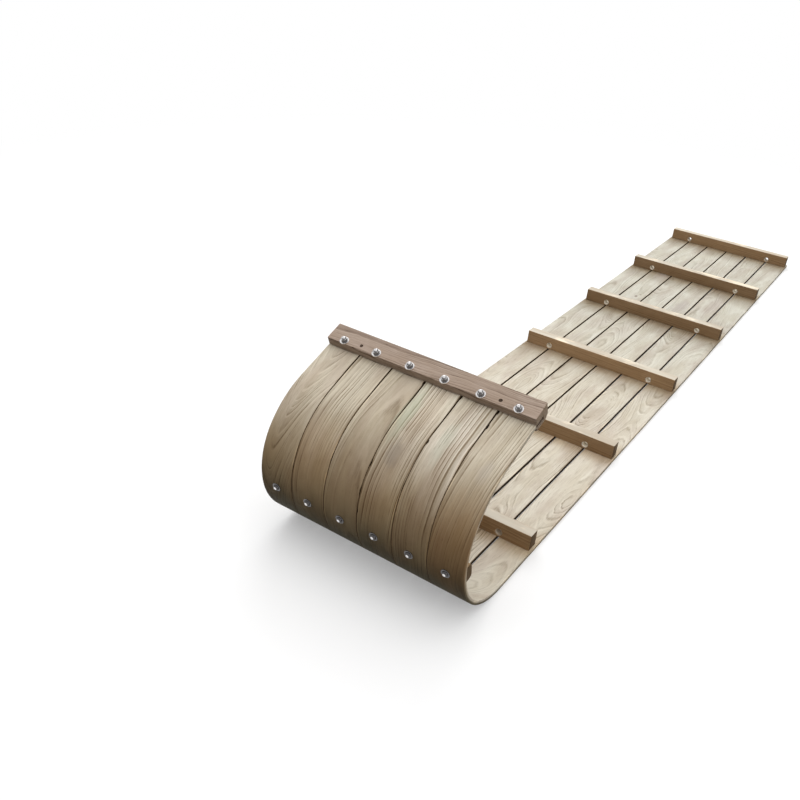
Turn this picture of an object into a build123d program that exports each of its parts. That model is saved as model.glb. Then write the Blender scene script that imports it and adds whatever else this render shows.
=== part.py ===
from build123d import *
from math import cos, radians, sin, sqrt, tan
import os

os.makedirs("parts", exist_ok=True)

# A wooden toboggan: long thin slats, bent up and back at the nose, held side by side by cross battens.
# It is laid out from the tail: +X runs forward to the nose, +Y to the rider's left, +Z up from the snow.
# Once all pieces are made they are moved together, so that the origin is under the middle of the whole.

# Slats
slat_count = 6
slat_width = 63.5
slat_gap = 2.5
slat_thickness = 8.0

# The nose, as the underside of the slats runs: a straight deck, three tangent arcs and a straight tip
deck_length = 2008.5
lower_bend_radius = 145.5
lower_bend_angle = 62.0
front_bend_radius = 136.0
front_bend_angle = 66.8
upper_bend_radius = 170.5
upper_bend_angle = 28.1
tip_length = 101.8

# Cross battens on the deck
batten_count = 6
batten_width = 25.0
batten_height = 32.0
batten_inset = 3.4
batten_edge_round = 1.2
tail_overhang = 6.0
bend_clearance = 109.0
rope_hole_diameter = 12.0
rope_hole_rim = 16.0
rope_hole_rim_angle = 90
rope_hole_lift = 2.0

# Wood screws that hold the deck battens, driven up from under the slats
screw_shank = 4.2
screw_head = 8.4
screw_length = 30.0
screw_point = 5.0
screw_recess = 0.4
screw_clearance = 0.1
screw_head_angle = 82

# The batten inside the nose, hollowed to the front bend
nose_batten_angle = 16.7
nose_batten_width = 30.0
nose_batten_depth = 20.0
nose_batten_round = 6.0

# The headpiece: a bar with a groove that the slats' ends sit in
headpiece_width = 37.0
headpiece_overhang = 1.0
headpiece_round = 1.0
headpiece_corner = 2.0
headpiece_chamfer = 8.0
upper_lip = 14.5
lower_lip = 5.0
groove_depth = 22.0
groove_spare = 1.0
groove_end_gap = 0.3
tow_hole_diameter = 6.5
tow_hole_setback = 12.5

# Bolts, washers and nuts of the headpiece and the nose batten
bolt_shank = 6.0
bolt_clearance = 0.2
bolt_head = 11.0
bolt_head_height = 4.0
bolt_stub = 2.6
bolt_stub_chamfer = 0.9
headpiece_bolt_setback = 15.7
washer_diameter = 16.0
washer_thickness = 1.4
nut_across_flats = 10.0
nut_height = 5.0

# How far a cut runs past a face
overrun = 1.0

slat_pitch = slat_width + slat_gap
deck_width = slat_count * slat_pitch - slat_gap
slat_centres = [(i - (slat_count - 1) / 2) * slat_pitch for i in range(slat_count)]
rope_lines = (slat_centres[0] + slat_pitch / 2, slat_centres[-1] - slat_pitch / 2)
# Each arc of the bend: its radius, and the degrees it turns
curl_arcs = (
    (lower_bend_radius, lower_bend_angle),
    (front_bend_radius, front_bend_angle),
    (upper_bend_radius, upper_bend_angle),
)
arc_lengths = [radius * radians(turn) for radius, turn in curl_arcs]
slat_length = deck_length + sum(arc_lengths) + tip_length

batten_length = deck_width - 2 * batten_inset
first_batten = tail_overhang + batten_width / 2
last_batten = deck_length - bend_clearance - batten_width / 2
batten_pitch = (last_batten - first_batten) / (batten_count - 1)
batten_places = [first_batten + i * batten_pitch for i in range(batten_count)]
rope_hole_height = slat_thickness + rope_hole_lift + rope_hole_rim / 2
screw_hole_radius = screw_shank / 2 + screw_clearance
countersink_radius = screw_head / 2 + screw_clearance + screw_recess * tan(radians(screw_head_angle / 2))
bolt_hole_radius = bolt_shank / 2 + bolt_clearance

nose_bolt_place = deck_length + arc_lengths[0] + front_bend_radius * radians(nose_batten_angle)
nose_batten_inner = slat_thickness + nose_batten_depth

groove_height = slat_thickness + groove_spare
headpiece_inner = groove_height + lower_lip
headpiece_length = deck_width + 2 * headpiece_overhang
headpiece_place = slat_length + groove_end_gap - groove_depth
headpiece_bolt_place = slat_length - headpiece_bolt_setback
tow_hole_place = slat_length - tow_hole_setback


def along_slat(length):
    """The point of the slats' outer face at a length from the tail, and the heading there in degrees."""
    x, z, heading = min(length, deck_length), 0.0, 0.0
    left = max(length - deck_length, 0.0)
    for (radius, turn), arc_length in zip(curl_arcs, arc_lengths):
        turned = turn * min(left / arc_length, 1)
        x += radius * (sin(radians(heading + turned)) - sin(radians(heading)))
        z += radius * (cos(radians(heading)) - cos(radians(heading + turned)))
        heading += turned
        left = max(left - arc_length, 0.0)
    return x + left * cos(radians(heading)), z + left * sin(radians(heading)), heading


def outward_plane(length, across, out=0.0):
    """A plane at a height out of the slats' outer face: its z points outwards, its x to the rider's left."""
    x, z, heading = along_slat(length)
    outwards = Vector(sin(radians(heading)), 0, -cos(radians(heading)))
    return Plane(origin=Vector(x, across, z) + outwards * out, x_dir=(0, 1, 0), z_dir=outwards)


def section_plane(length, across):
    """A plane across the toboggan: its x runs along the slats there, its y out of their outer face."""
    x, z, heading = along_slat(length)
    forwards = Vector(cos(radians(heading)), 0, sin(radians(heading)))
    return Plane(origin=(x, across, z), x_dir=forwards, z_dir=(0, 1, 0))


def slat_side():
    """The outline of a slat seen from the side, drawn in the current line builder."""
    faces = []
    for inward in (0.0, slat_thickness):
        edges = [Line((0, inward), (deck_length, inward))]
        for radius, turn in curl_arcs:
            edges.append(JernArc(edges[-1] @ 1, edges[-1] % 1, radius - inward, turn))
        edges.append(PolarLine(edges[-1] @ 1, tip_length, direction=edges[-1] % 1))
        faces.append(edges)
    outer, inner = faces
    Line(outer[0] @ 0, inner[0] @ 0)
    Line(outer[-1] @ 1, inner[-1] @ 1)


pieces = []


def finish(piece, label):
    """Name a finished piece and keep it for the export."""
    piece.label = label
    pieces.append(piece)


# Slats, numbered from the rider's right
for number, centre in enumerate(slat_centres, start=1):
    with BuildPart() as slat:
        with BuildSketch(Plane.XZ.offset(-centre - slat_width / 2)):
            with BuildLine():
                slat_side()
            make_face()
        extrude(amount=slat_width)
        # Countersunk holes for the screws of the deck battens
        for place in batten_places:
            with Locations(outward_plane(place, centre)):
                CounterSinkHole(
                    screw_hole_radius,
                    countersink_radius,
                    depth=slat_thickness + overrun,
                    counter_sink_angle=screw_head_angle,
                )
        # Bolt holes at the nose batten and the headpiece
        for place in (nose_bolt_place, headpiece_bolt_place):
            with Locations(outward_plane(place, centre)):
                Hole(bolt_hole_radius, depth=slat_thickness + overrun)
        # The tow holes take a little off both slats beside their seam
        for line in rope_lines:
            if abs(line - centre) < slat_pitch:
                with Locations(outward_plane(tow_hole_place, line)):
                    Hole(tow_hole_diameter / 2, depth=slat_thickness + overrun)
    finish(slat.part, f"slat_{number}")

# Deck battens, numbered from the tail
for number, place in enumerate(batten_places, start=1):
    with BuildPart() as cross_batten:
        with Locations((place, 0, slat_thickness)):
            Box(
                batten_width,
                batten_length,
                batten_height,
                align=(Align.CENTER, Align.CENTER, Align.MIN),
            )
        fillet(cross_batten.faces().sort_by(Axis.Z)[-1].edges(), batten_edge_round)
        # Holes from front to back for the side ropes, chamfered at both faces
        for line in rope_lines:
            for face in (1, -1):
                rim = Plane(origin=(place + face * batten_width / 2, line, rope_hole_height), z_dir=(face, 0, 0))
                with Locations(rim):
                    CounterSinkHole(
                        rope_hole_diameter / 2,
                        rope_hole_rim / 2,
                        depth=batten_width,
                        counter_sink_angle=rope_hole_rim_angle,
                    )
        # Blind holes for the screws
        for centre in slat_centres:
            with Locations(outward_plane(place, centre, -slat_thickness)):
                Hole(screw_hole_radius, depth=screw_length - slat_thickness + screw_clearance)
    finish(cross_batten.part, f"cross_batten_{number}")

# The batten inside the nose lies against the hollow side of the bend
seat_radius = front_bend_radius - slat_thickness
seat_edge = front_bend_radius - sqrt(seat_radius**2 - (nose_batten_width / 2) ** 2)
with BuildPart() as nose_batten:
    with BuildSketch(section_plane(nose_bolt_place, batten_length / 2)):
        with BuildLine():
            ThreePointArc(
                (-nose_batten_width / 2, -seat_edge),
                (0, -slat_thickness),
                (nose_batten_width / 2, -seat_edge),
            )
            FilletPolyline(
                (-nose_batten_width / 2, -seat_edge),
                (-nose_batten_width / 2, -nose_batten_inner),
                (nose_batten_width / 2, -nose_batten_inner),
                (nose_batten_width / 2, -seat_edge),
                radius=nose_batten_round,
            )
        make_face()
    extrude(amount=-batten_length)
    for centre in slat_centres:
        with Locations(outward_plane(nose_bolt_place, centre)):
            Hole(bolt_hole_radius)
finish(nose_batten.part, "nose_batten")

# The headpiece, with its groove open towards the slats
with BuildPart() as headpiece:
    with BuildSketch(section_plane(headpiece_place, headpiece_length / 2)):
        with BuildLine():
            Polyline(
                (0, 0),
                (0, upper_lip),
                (headpiece_width, upper_lip),
                (headpiece_width, headpiece_chamfer - headpiece_inner),
                (headpiece_width - headpiece_chamfer, -headpiece_inner),
                (0, -headpiece_inner),
                (0, -groove_height),
                (groove_depth, -groove_height),
                (groove_depth, 0),
                close=True,
            )
        make_face()
    extrude(amount=-headpiece_length)
    # Its four corners are rounded off, then the edges of its outer face
    outer_face = outward_plane(headpiece_place + headpiece_width / 2, 0, upper_lip)
    with BuildSketch(outer_face):
        RectangleRounded(headpiece_length, headpiece_width, headpiece_corner)
    extrude(amount=-upper_lip - headpiece_inner, mode=Mode.INTERSECT)
    outwards = Axis(outer_face.origin, outer_face.z_dir)
    fillet(headpiece.faces().sort_by(outwards)[-1].edges(), headpiece_round)
    for centre in slat_centres:
        with Locations(outward_plane(headpiece_bolt_place, centre)):
            Hole(bolt_hole_radius)
    for line in rope_lines:
        with Locations(outward_plane(tow_hole_place, line)):
            Hole(tow_hole_diameter / 2)
finish(headpiece.part, "headpiece")

# The rows of bolts. A row's head seats at one height out of the slats' outer face and its nut at another
head_dome = (bolt_head_height**2 + (bolt_head / 2) ** 2) / (2 * bolt_head_height)
bolt_rows = (
    # name, place along the slats, seat of the head, seat of the nut, seat of the washer
    ("nose", nose_bolt_place, washer_thickness, -nose_batten_inner, 0.0),
    ("headpiece", headpiece_bolt_place, -headpiece_inner, upper_lip + washer_thickness, upper_lip),
)
for row, place, head_seat, nut_seat, washer_seat in bolt_rows:
    outward = 1 if nut_seat > head_seat else -1
    bolt_end = abs(nut_seat - head_seat) + nut_height + bolt_stub
    with BuildPart() as bolts:
        for centre in slat_centres:
            seat = outward_plane(place, centre, head_seat)
            along_bolt = seat.z_dir * outward
            with BuildSketch(Plane(seat.origin, x_dir=seat.x_dir, z_dir=seat.x_dir.cross(along_bolt))):
                with BuildLine():
                    RadiusArc((bolt_head / 2, 0), (0, -bolt_head_height), head_dome)
                    Polyline(
                        (0, -bolt_head_height),
                        (0, bolt_end),
                        (bolt_shank / 2 - bolt_stub_chamfer, bolt_end),
                        (bolt_shank / 2, bolt_end - bolt_stub_chamfer),
                        (bolt_shank / 2, 0),
                        (bolt_head / 2, 0),
                    )
                make_face()
            revolve(axis=Axis(seat.origin, along_bolt))
    finish(bolts.part, f"{row}_bolts")
    with BuildPart() as washers:
        for centre in slat_centres:
            with BuildSketch(outward_plane(place, centre, washer_seat)):
                Circle(washer_diameter / 2)
                Circle(bolt_hole_radius, mode=Mode.SUBTRACT)
            extrude(amount=washer_thickness)
    finish(washers.part, f"{row}_washers")
    with BuildPart() as nuts:
        for centre in slat_centres:
            with BuildSketch(outward_plane(place, centre, nut_seat)):
                RegularPolygon(nut_across_flats / 2, 6, major_radius=False)
                Circle(bolt_hole_radius, mode=Mode.SUBTRACT)
            extrude(amount=nut_height * outward)
    finish(nuts.part, f"{row}_nuts")

# Flat-headed screws, a little below the slats' underside, one in each slat under each deck batten
head_taper = (screw_head - screw_shank) / 2 / tan(radians(screw_head_angle / 2))
with BuildPart() as deck_screws:
    for place in batten_places:
        for centre in slat_centres:
            middle = outward_plane(place, centre, -screw_recess)
            with BuildSketch(Plane(origin=middle.origin, x_dir=middle.x_dir, z_dir=-middle.y_dir)):
                with BuildLine():
                    Polyline(
                        (0, 0),
                        (screw_head / 2, 0),
                        (screw_shank / 2, -head_taper),
                        (screw_shank / 2, screw_point + screw_recess - screw_length),
                        (0, screw_recess - screw_length),
                        close=True,
                    )
                make_face()
            revolve(axis=Axis(middle.origin, middle.z_dir))
finish(deck_screws.part, "deck_screws")

# The origin goes under the middle of the whole
whole = Compound(children=[Compound(piece.solids()) for piece in pieces]).bounding_box()
middle = Vector((whole.min.X + whole.max.X) / 2, (whole.min.Y + whole.max.Y) / 2, whole.min.Z)
for piece in pieces:
    piece.move(Location(-middle))
    export_step(piece, f"parts/{piece.label}.step")
print("Length, width and height:", whole.size)
print("Moved by:", -middle)
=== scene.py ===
# %% [markdown]
# # A wooden toboggan
# Six thin oak slats lie side by side as the deck and bend up and back at the nose. Cross battens hold
# them flat, a grooved headpiece holds their ends, and bolts hold the headpiece and a batten in the nose.
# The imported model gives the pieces' places and the overall size. This script builds new surfaces and
# finishes around it. All lengths are in metres.

import bmesh
import bpy
import numpy as np
from mathutils import Matrix, Vector


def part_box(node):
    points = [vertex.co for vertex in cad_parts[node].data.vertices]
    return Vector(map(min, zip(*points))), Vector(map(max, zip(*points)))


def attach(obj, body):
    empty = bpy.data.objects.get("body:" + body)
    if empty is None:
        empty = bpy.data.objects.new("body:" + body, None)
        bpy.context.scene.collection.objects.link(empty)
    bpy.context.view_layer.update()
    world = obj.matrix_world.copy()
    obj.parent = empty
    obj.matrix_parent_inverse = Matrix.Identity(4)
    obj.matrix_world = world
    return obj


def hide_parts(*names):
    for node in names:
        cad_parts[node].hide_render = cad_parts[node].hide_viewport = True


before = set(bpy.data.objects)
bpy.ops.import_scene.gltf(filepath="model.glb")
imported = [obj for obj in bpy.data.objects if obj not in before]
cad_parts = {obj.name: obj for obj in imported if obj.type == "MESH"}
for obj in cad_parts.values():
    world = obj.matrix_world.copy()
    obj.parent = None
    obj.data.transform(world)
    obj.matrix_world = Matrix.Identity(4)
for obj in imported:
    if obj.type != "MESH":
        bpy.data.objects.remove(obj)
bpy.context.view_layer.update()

# %% [markdown]
# ## The bend
# All slats follow one side view: a straight deck, three arcs that run into each other, and a straight tip.
# A plank could be bent with a Curve or a Simple Deform modifier, but a formula is exact. Here a point is
# given as it lies on the flat plank, and the formula says where the bent plank carries it.

# %% The bend as a formula
MM = 0.001
DECK_LENGTH = 2008.5 * MM
# each arc's radius and how far it turns
ARCS = ((145.5 * MM, np.radians(62.0)), (136.0 * MM, np.radians(66.8)), (170.5 * MM, np.radians(28.1)))
TIP_LENGTH = 101.8 * MM
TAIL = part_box("slat_1")[0].x
SLAT_LENGTH = DECK_LENGTH + sum(radius * turn for radius, turn in ARCS) + TIP_LENGTH


def along(s):
    """Place and heading of the slats' outer face at a length s from the tail.

    On an arc of radius R, x grows by R (sin of the new heading - sin of the old one) and z by
    R (cos of the old heading - cos of the new one). Past the arcs it goes straight on.
    """
    x, z, heading = np.minimum(s, DECK_LENGTH), 0.0 * s, 0.0 * s
    left = np.maximum(s - DECK_LENGTH, 0.0)
    for radius, turn in ARCS:
        turned_by = np.minimum(left / radius, turn)
        x = x + radius * (np.sin(heading + turned_by) - np.sin(heading))
        z = z + radius * (np.cos(heading) - np.cos(heading + turned_by))
        heading = heading + turned_by
        left = np.maximum(left - radius * turn, 0.0)
    return TAIL + x + left * np.cos(heading), z + left * np.sin(heading), heading


def bent(points):
    """Carry flat points (s along, w across, n in from the outer face) onto the bend.

    Point = the outer face's place at s, plus n times its normal, with w as it is.
    """
    s, w, n = np.moveaxis(points, -1, 0)
    x, z, heading = along(s)
    return np.stack([x - n * np.sin(heading), w, z + n * np.cos(heading)], axis=-1)


print("Slat length before bending:", round(SLAT_LENGTH, 4))
print("Its tip, and the way it heads:", [round(float(v), 4) for v in along(SLAT_LENGTH)])

# %% [markdown]
# ## Meshes from arrays
# Every new piece is a surface worked out with numpy: rows of points, and the faces between neighbouring
# rows. Blender could make the same faces one by one in bmesh, but whole arrays are shorter and faster.
# Values that a finish needs later, such as the distance from an edge, are kept at the points.

# %% Make a mesh object from arrays
SHARP_EDGE = np.radians(32)


def joined(rows):
    """The four-cornered faces between neighbouring rows of point numbers, where each row is a closed loop."""
    after = np.roll(rows, -1, axis=1)
    return np.stack([rows[:-1], rows[1:], after[1:], after[:-1]], -1)


def make_object(name, points, faces, material, **layers):
    """A mesh object from an array of points, arrays of faces, and values kept at each point."""
    mesh = bpy.data.meshes.new(name)
    mesh.from_pydata(points.reshape(-1, 3).tolist(), [], [row for part in faces for row in part.tolist()])
    for layer, values in layers.items():
        kind, field = ("FLOAT_VECTOR", "vector") if values.ndim > 1 else ("FLOAT", "value")
        attribute = mesh.attributes.new(layer, kind, "POINT")
        attribute.data.foreach_set(field, values.astype(np.float32).ravel())
    outwards = bmesh.new()
    outwards.from_mesh(mesh)
    bmesh.ops.recalc_face_normals(outwards, faces=outwards.faces)
    outwards.to_mesh(mesh)
    outwards.free()
    mesh.shade_smooth()
    mesh.set_sharp_from_angle(angle=SHARP_EDGE)
    mesh.materials.append(material)
    made = bpy.data.objects.new(name, mesh)
    bpy.context.scene.collection.objects.link(made)
    return made


print("An edge stays sharp from", round(np.degrees(SHARP_EDGE)), "degrees on")

# %% [markdown]
# ## Planks with eased edges and drilled holes
# Slats and battens are planed planks with slightly rounded edges. A cube with a Bevel would give the edges,
# but then the holes need Booleans, which leave untidy faces. Here one surface carries a rounded section
# along the plank, and each hole is a ring of faces that grows from a rectangle of that grid to a circle.

# %% A plank's section
def section(width, thickness, ease, across, corner=3):
    """A rounded rectangle, anticlockwise: core points, the way each swells, and its low and high flat run.

    Point = core point + swell times its direction. Round a corner the direction is (sin a, -cos a) or
    its mirror image. Both runs list their points from -w to +w.
    """
    half_w, half_n = width / 2 - ease, thickness / 2 - ease
    w = np.linspace(-half_w, half_w, across + 1)
    turn = np.linspace(0, np.pi / 2, corner + 2)[1:-1]
    low = np.stack([w, 0 * w - half_n, 0 * w, 0 * w - 1], -1)
    quarter = np.stack([0 * turn + half_w, 0 * turn - half_n, np.sin(turn), -np.cos(turn)], -1)
    side = np.array([[half_w, -half_n, 1, 0], [half_w, half_n, 1, 0]])
    upside_down = np.array([1, -1, 1, -1])
    right = np.concatenate([quarter, side, quarter[::-1] * upside_down])
    loop = np.concatenate([low, right, low[::-1] * upside_down, -right])
    low_run = np.arange(len(low))
    high_run = low_run[::-1] + len(low) + len(right)
    return loop[:, :2], loop[:, 2:], (low_run, high_run)


# angles at which the eased ends have a station
END_ANGLES = np.radians([72, 45, 20, 0])


def stations_along(length, ease, spacing, cells):
    """Where the section stands along a plank, its swell there, and each cell's first and last station.

    A cell, which holds a hole, is (start, stop, parts). Between cells the steps follow spacing(s). At
    both ends the swell falls as a quarter circle: place = ease (1 - sin a), swell = ease times cos a.
    """
    ends, end_swell = ease * (1 - np.sin(END_ANGLES)), ease * np.cos(END_ANGLES)
    stations, spans = list(ends), []
    for start, stop, parts in [*cells, (length - ease, length - ease, 0)]:
        gap = start - stations[-1]
        assert gap > 0, "the cells of two holes overlap"
        steps = max(1, int(np.ceil(gap / spacing(stations[-1] + gap / 2))))
        stations += list(np.linspace(stations[-1], start, steps + 1)[1:])
        spans.append((len(stations) - 1, len(stations) - 1 + parts))
        stations += list(np.linspace(start, stop, parts + 1)[1:])
    stations += list(length - ends[::-1][1:])
    swell = np.full(len(stations), ease)
    swell[:len(ends)], swell[-len(ends):] = end_swell, end_swell[::-1]
    return np.array(stations), swell, spans[:-1]


print("Points round a slat's section:", len(section(1, 1, 0.1, 8)[0]))

# %% A hole through a plank
# how far two rings round a hole's mouth lie out towards the cell's rim
HALFWAY, CLOSE = 0.45, 0.02


def rim_round(index, first, last, run):
    """The numbers of the grid's points round a cell, as a closed loop."""
    rows = np.arange(first, last)
    return np.concatenate([index[first, run[:-1]], index[rows, run[-1]],
                           index[last, run[:0:-1]], index[rows[::-1] + 1, run[0]]])


def drilled(grid, rims, middle, bore, thickness, count):
    """A hole's rings: their points, how freshly cut each is, and the faces that tie them to both rims.

    Point = circle + spread times (rim - circle), where the circle's point lies on the ray from the hole's
    middle to the rim's point. The bore has rows of (radius, n, how freshly cut), from n = 0 on.
    """
    flat = grid[rims[0]][:, :2] - middle
    ray = flat / np.linalg.norm(flat, axis=1, keepdims=True)
    mouth, far_mouth = bore[0][0], bore[-1][0]
    rings = [(HALFWAY, mouth, 0.0, 0.0), (CLOSE, mouth, 0.0, 0.0), *((0.0, *row) for row in bore),
             (CLOSE, far_mouth, thickness, 0.0), (HALFWAY, far_mouth, thickness, 0.0)]
    spread, radius, n, fresh = np.array(rings).T[:, :, None]
    circle = ray * radius[..., None]
    places = circle + spread[..., None] * (flat - circle) + middle
    n, fresh = (np.broadcast_to(value, places.shape[:2]) for value in (n, fresh))
    numbers = count + np.arange(n.size).reshape(n.shape)
    faces = joined(np.vstack([rims[0], numbers, rims[1]]))
    return np.concatenate([places, n[..., None]], -1).reshape(-1, 3), fresh.ravel(), faces.reshape(-1, 4)


print("Rings round each mouth of a hole, besides its own:", len((HALFWAY, CLOSE)))


# %% A whole plank
def plank(length, width, thickness, ease, across, spacing, holes, pinch=None):
    """A drilled plank as flat points (s, w, n), its faces, and the marks that its finish reads at each point.

    Point = core point + swell times its direction, at each station s. holes are rows of (s, w, half the
    cell's length, its parts, bore) in order of s. pinch has two functions of s: how far the edge at -w and
    the edge at +w stand in. The marks are the distance from the nearest long edge before that, and how
    much a point lies on an end, on freshly cut wood in a hole, and on the side at -w or at +w.
    """
    core, out, runs = section(width, thickness, ease, across)
    cells = [(at - half, at + half, parts) for at, _, half, parts, _ in holes]
    s, swell, spans = stations_along(length, ease, spacing, cells)
    w = core[:, 0] + swell[:, None] * out[:, 0]
    n = thickness / 2 + core[:, 1] + swell[:, None] * out[:, 1]
    from_edge = [(width / 2 - np.abs(w)).ravel()]
    if pinch is not None:
        low_in, high_in = (stands_in(s)[:, None] for stands_in in pinch)
        w = w * (1 - np.where(w < 0, low_in, high_in) / (width / 2))
    grid = np.stack([np.broadcast_to(s[:, None], w.shape), w, n], -1).reshape(-1, 3)
    index = np.arange(w.size).reshape(w.shape)
    quads = joined(index)
    keep = np.ones(quads.shape[:2], bool)
    points, in_hole, faces = [grid], [np.zeros(w.size)], [index[:1], index[-1:, ::-1]]
    for (first, last), (at, beside, _, _, bore) in zip(spans, holes):
        for run in runs:
            keep[first:last, run.min():run.max()] = False
        rims = [rim_round(index, first, last, run) for run in runs]
        count = sum(len(part) for part in points)
        ring_points, fresh, ring_faces = drilled(grid, rims, [at, beside], bore, thickness, count)
        points.append(ring_points)
        in_hole.append(fresh)
        faces.append(ring_faces)
        from_edge.append(width / 2 - np.abs(ring_points[:, 1]))
    faces.append(quads[keep])
    points = np.concatenate(points)

    def on_grid(values):
        return np.concatenate([np.broadcast_to(values, w.shape).ravel(), np.zeros(len(points) - w.size)])

    on_end = np.zeros(w.shape)
    on_end[[0, -1]] = 1.0
    # the tenth power keeps the sides' marks off the rounded edges
    marks = {"from_edge": np.concatenate(from_edge), "end_grain": on_grid(on_end),
             "in_hole": np.concatenate(in_hole), "low_side": on_grid(np.clip(-out[:, 0], 0, 1) ** 10),
             "high_side": on_grid(np.clip(out[:, 0], 0, 1) ** 10)}
    return points, faces, marks


# %% [markdown]
# ## Shader helpers
# Nodes could be placed and linked by hand in the Shader Editor. In a script it is shorter to say what a
# node takes and to get its output back, so that one line reads like a formula. Colours are given as three
# values, red, green and blue, and a noise's fineness as blotches to the metre along and across the grain.

# %% Add a node and set or link its inputs
def add(tree, kind, inputs=None, **settings):
    """Add a node. An input is linked where its value is another node's output, and set otherwise."""
    made = tree.nodes.new(kind)
    for key, value in settings.items():
        setattr(made, key, value)
    for key, value in (inputs or {}).items():
        socket = made.inputs[key]
        if isinstance(value, bpy.types.NodeSocket):
            tree.links.new(value, socket)
        else:
            socket.default_value = (*value, 1.0) if socket.type == "RGBA" else value
    return made


def math(tree, operation, *values, clamp=False):
    """A Math node's output."""
    inputs = dict(enumerate(values))
    return add(tree, "ShaderNodeMath", inputs, operation=operation, use_clamp=clamp).outputs[0]


def product(tree, first, *others):
    """Several values multiplied."""
    for other in others:
        first = math(tree, "MULTIPLY", first, other)
    return first


def total(tree, first, *others):
    """Several values added."""
    for other in others:
        first = math(tree, "ADD", first, other)
    return first


def ramp(tree, value, low, high, to_low=0.0, to_high=1.0):
    """A smooth step from to_low to to_high as the value goes from low to high."""
    values = {"Value": value, "From Min": low, "From Max": high, "To Min": to_low, "To Max": to_high}
    return add(tree, "ShaderNodeMapRange", values, interpolation_type="SMOOTHSTEP").outputs[0]


# %% Noise, vectors and colours
def noise(tree, place, lengthwise, crosswise, detail=2.0, roughness=0.5):
    """A noise texture's value, about 0.5 on average."""
    scale = (lengthwise, crosswise, crosswise)
    stretched = add(tree, "ShaderNodeVectorMath", {0: place, 1: scale}, operation="MULTIPLY").outputs[0]
    values = {"Vector": stretched, "Scale": 1.0, "Detail": detail, "Roughness": roughness}
    return add(tree, "ShaderNodeTexNoise", values).outputs[0]


def swing(tree, value):
    """A value about 0.5 made to swing about 0."""
    return math(tree, "SUBTRACT", value, 0.5)


def parts_of(tree, vector):
    """A vector's three parts."""
    return add(tree, "ShaderNodeSeparateXYZ", {0: vector}).outputs


def object_place(tree):
    """Object coordinates, which here are the toboggan's own."""
    return add(tree, "ShaderNodeTexCoord").outputs["Object"]


def mix(tree, factor, low, high, blend="MIX"):
    """A colour mixed from two."""
    colours = {0: factor, 6: low, 7: high}
    return add(tree, "ShaderNodeMix", colours, data_type="RGBA", blend_type=blend).outputs[2]


def tinted(tree, mask, colour, tint):
    """A colour that is multiplied by a tint where the mask is 1."""
    return mix(tree, mask, colour, mix(tree, 1.0, colour, tint, "MULTIPLY"))


def darker(colour, *factors):
    """A colour with each channel multiplied."""
    return [channel * factor for channel, factor in zip(colour, factors)]


# %% Node groups
def new_group(name, inputs, outputs):
    """A node group with named inputs, (name, kind, default), and outputs, (name, kind)."""
    tree = bpy.data.node_groups.new(name, "ShaderNodeTree")
    for label, kind, default in inputs:
        made = tree.interface.new_socket(name=label, in_out="INPUT", socket_type=f"NodeSocket{kind}")
        if default is not None:
            made.default_value = default
    for label, kind in outputs:
        tree.interface.new_socket(name=label, in_out="OUTPUT", socket_type=f"NodeSocket{kind}")
    return tree, add(tree, "NodeGroupInput").outputs, add(tree, "NodeGroupOutput")


def use(tree, group, **inputs):
    """Place a group in a material; underscores in the names stand for spaces."""
    values = {key.replace("_", " "): value for key, value in inputs.items()}
    return add(tree, "ShaderNodeGroup", values, node_tree=group).outputs


# %% [markdown]
# ## The oak's figure
# The same oak makes the slats, the battens and the headpiece, so its figure is one node group that each
# finish uses with its own values. It grows the log's rings round the pith: where a plank cuts them flat
# they show as arches, and where it cuts them upright, as straight lines. Each plank remembers where it
# lay in its log, as a vector kept at every point, so the figure follows the bend and runs over the edges.

# %% Rings round the pith
oak_figure, given, result = new_group(
    "oak figure",
    [("Log place", "Vector", None), ("Growth", "Float", 0.0), ("Ring spacing", "Float", 4.5 * MM),
     ("Ripple", "Float", 4.0 * MM), ("Line width", "Float", 0.25)],
    [(label, "Float") for label in ("Rings", "Year tone", "Streaks", "Pores", "Height")])
tree, place = oak_figure, given["Log place"]
_, aside, above = parts_of(tree, place)
from_pith = math(tree, "SQRT", total(tree, product(tree, aside, aside), product(tree, above, above)))
ripple = product(tree, swing(tree, noise(tree, place, 9.0, 30.0, 3.0)), given["Ripple"])
age = total(tree, from_pith, given["Growth"], ripple)
# good and poor years: the rings lie now wider, now closer
years = {"W": age, "Scale": 55.0, "Detail": 1.0}
good_years = add(tree, "ShaderNodeTexNoise", years, noise_dimensions="1D").outputs[0]
age = total(tree, age, product(tree, swing(tree, good_years), 18 * MM))
ring = math(tree, "DIVIDE", age, given["Ring spacing"])
year = math(tree, "FLOOR", ring)
phase = math(tree, "SUBTRACT", ring, year)
print("Nodes for the rings:", len(tree.nodes))

# %% Lines, streaks and pores
LINE_END = 0.86


def one_of(tree, number):
    """A random value that stays the same for one number."""
    return add(tree, "ShaderNodeTexWhiteNoise", {"W": number}, noise_dimensions="1D").outputs[0]


# each year ends in a dark line that starts softly and stops sharply, and starts with a pale one
line = ramp(tree, phase, math(tree, "SUBTRACT", LINE_END, given["Line width"]), LINE_END)
line = product(tree, line, ramp(tree, phase, 0.9, 0.99, 1.0, 0.0))
dashes = noise(tree, place, 50.0, 420.0, 2.0, 0.6)
unevenness = product(tree, ramp(tree, one_of(tree, year), 0.0, 1.0, 0.25, 1.0),
                     ramp(tree, dashes, 0.3, 0.62, 0.55, 1.0))
pale_line = product(tree, ramp(tree, phase, 0.0, 0.08), ramp(tree, phase, 0.12, 0.26, 1.0, 0.0), 0.8)
rings = math(tree, "SUBTRACT", product(tree, line, unevenness), pale_line)
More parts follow.
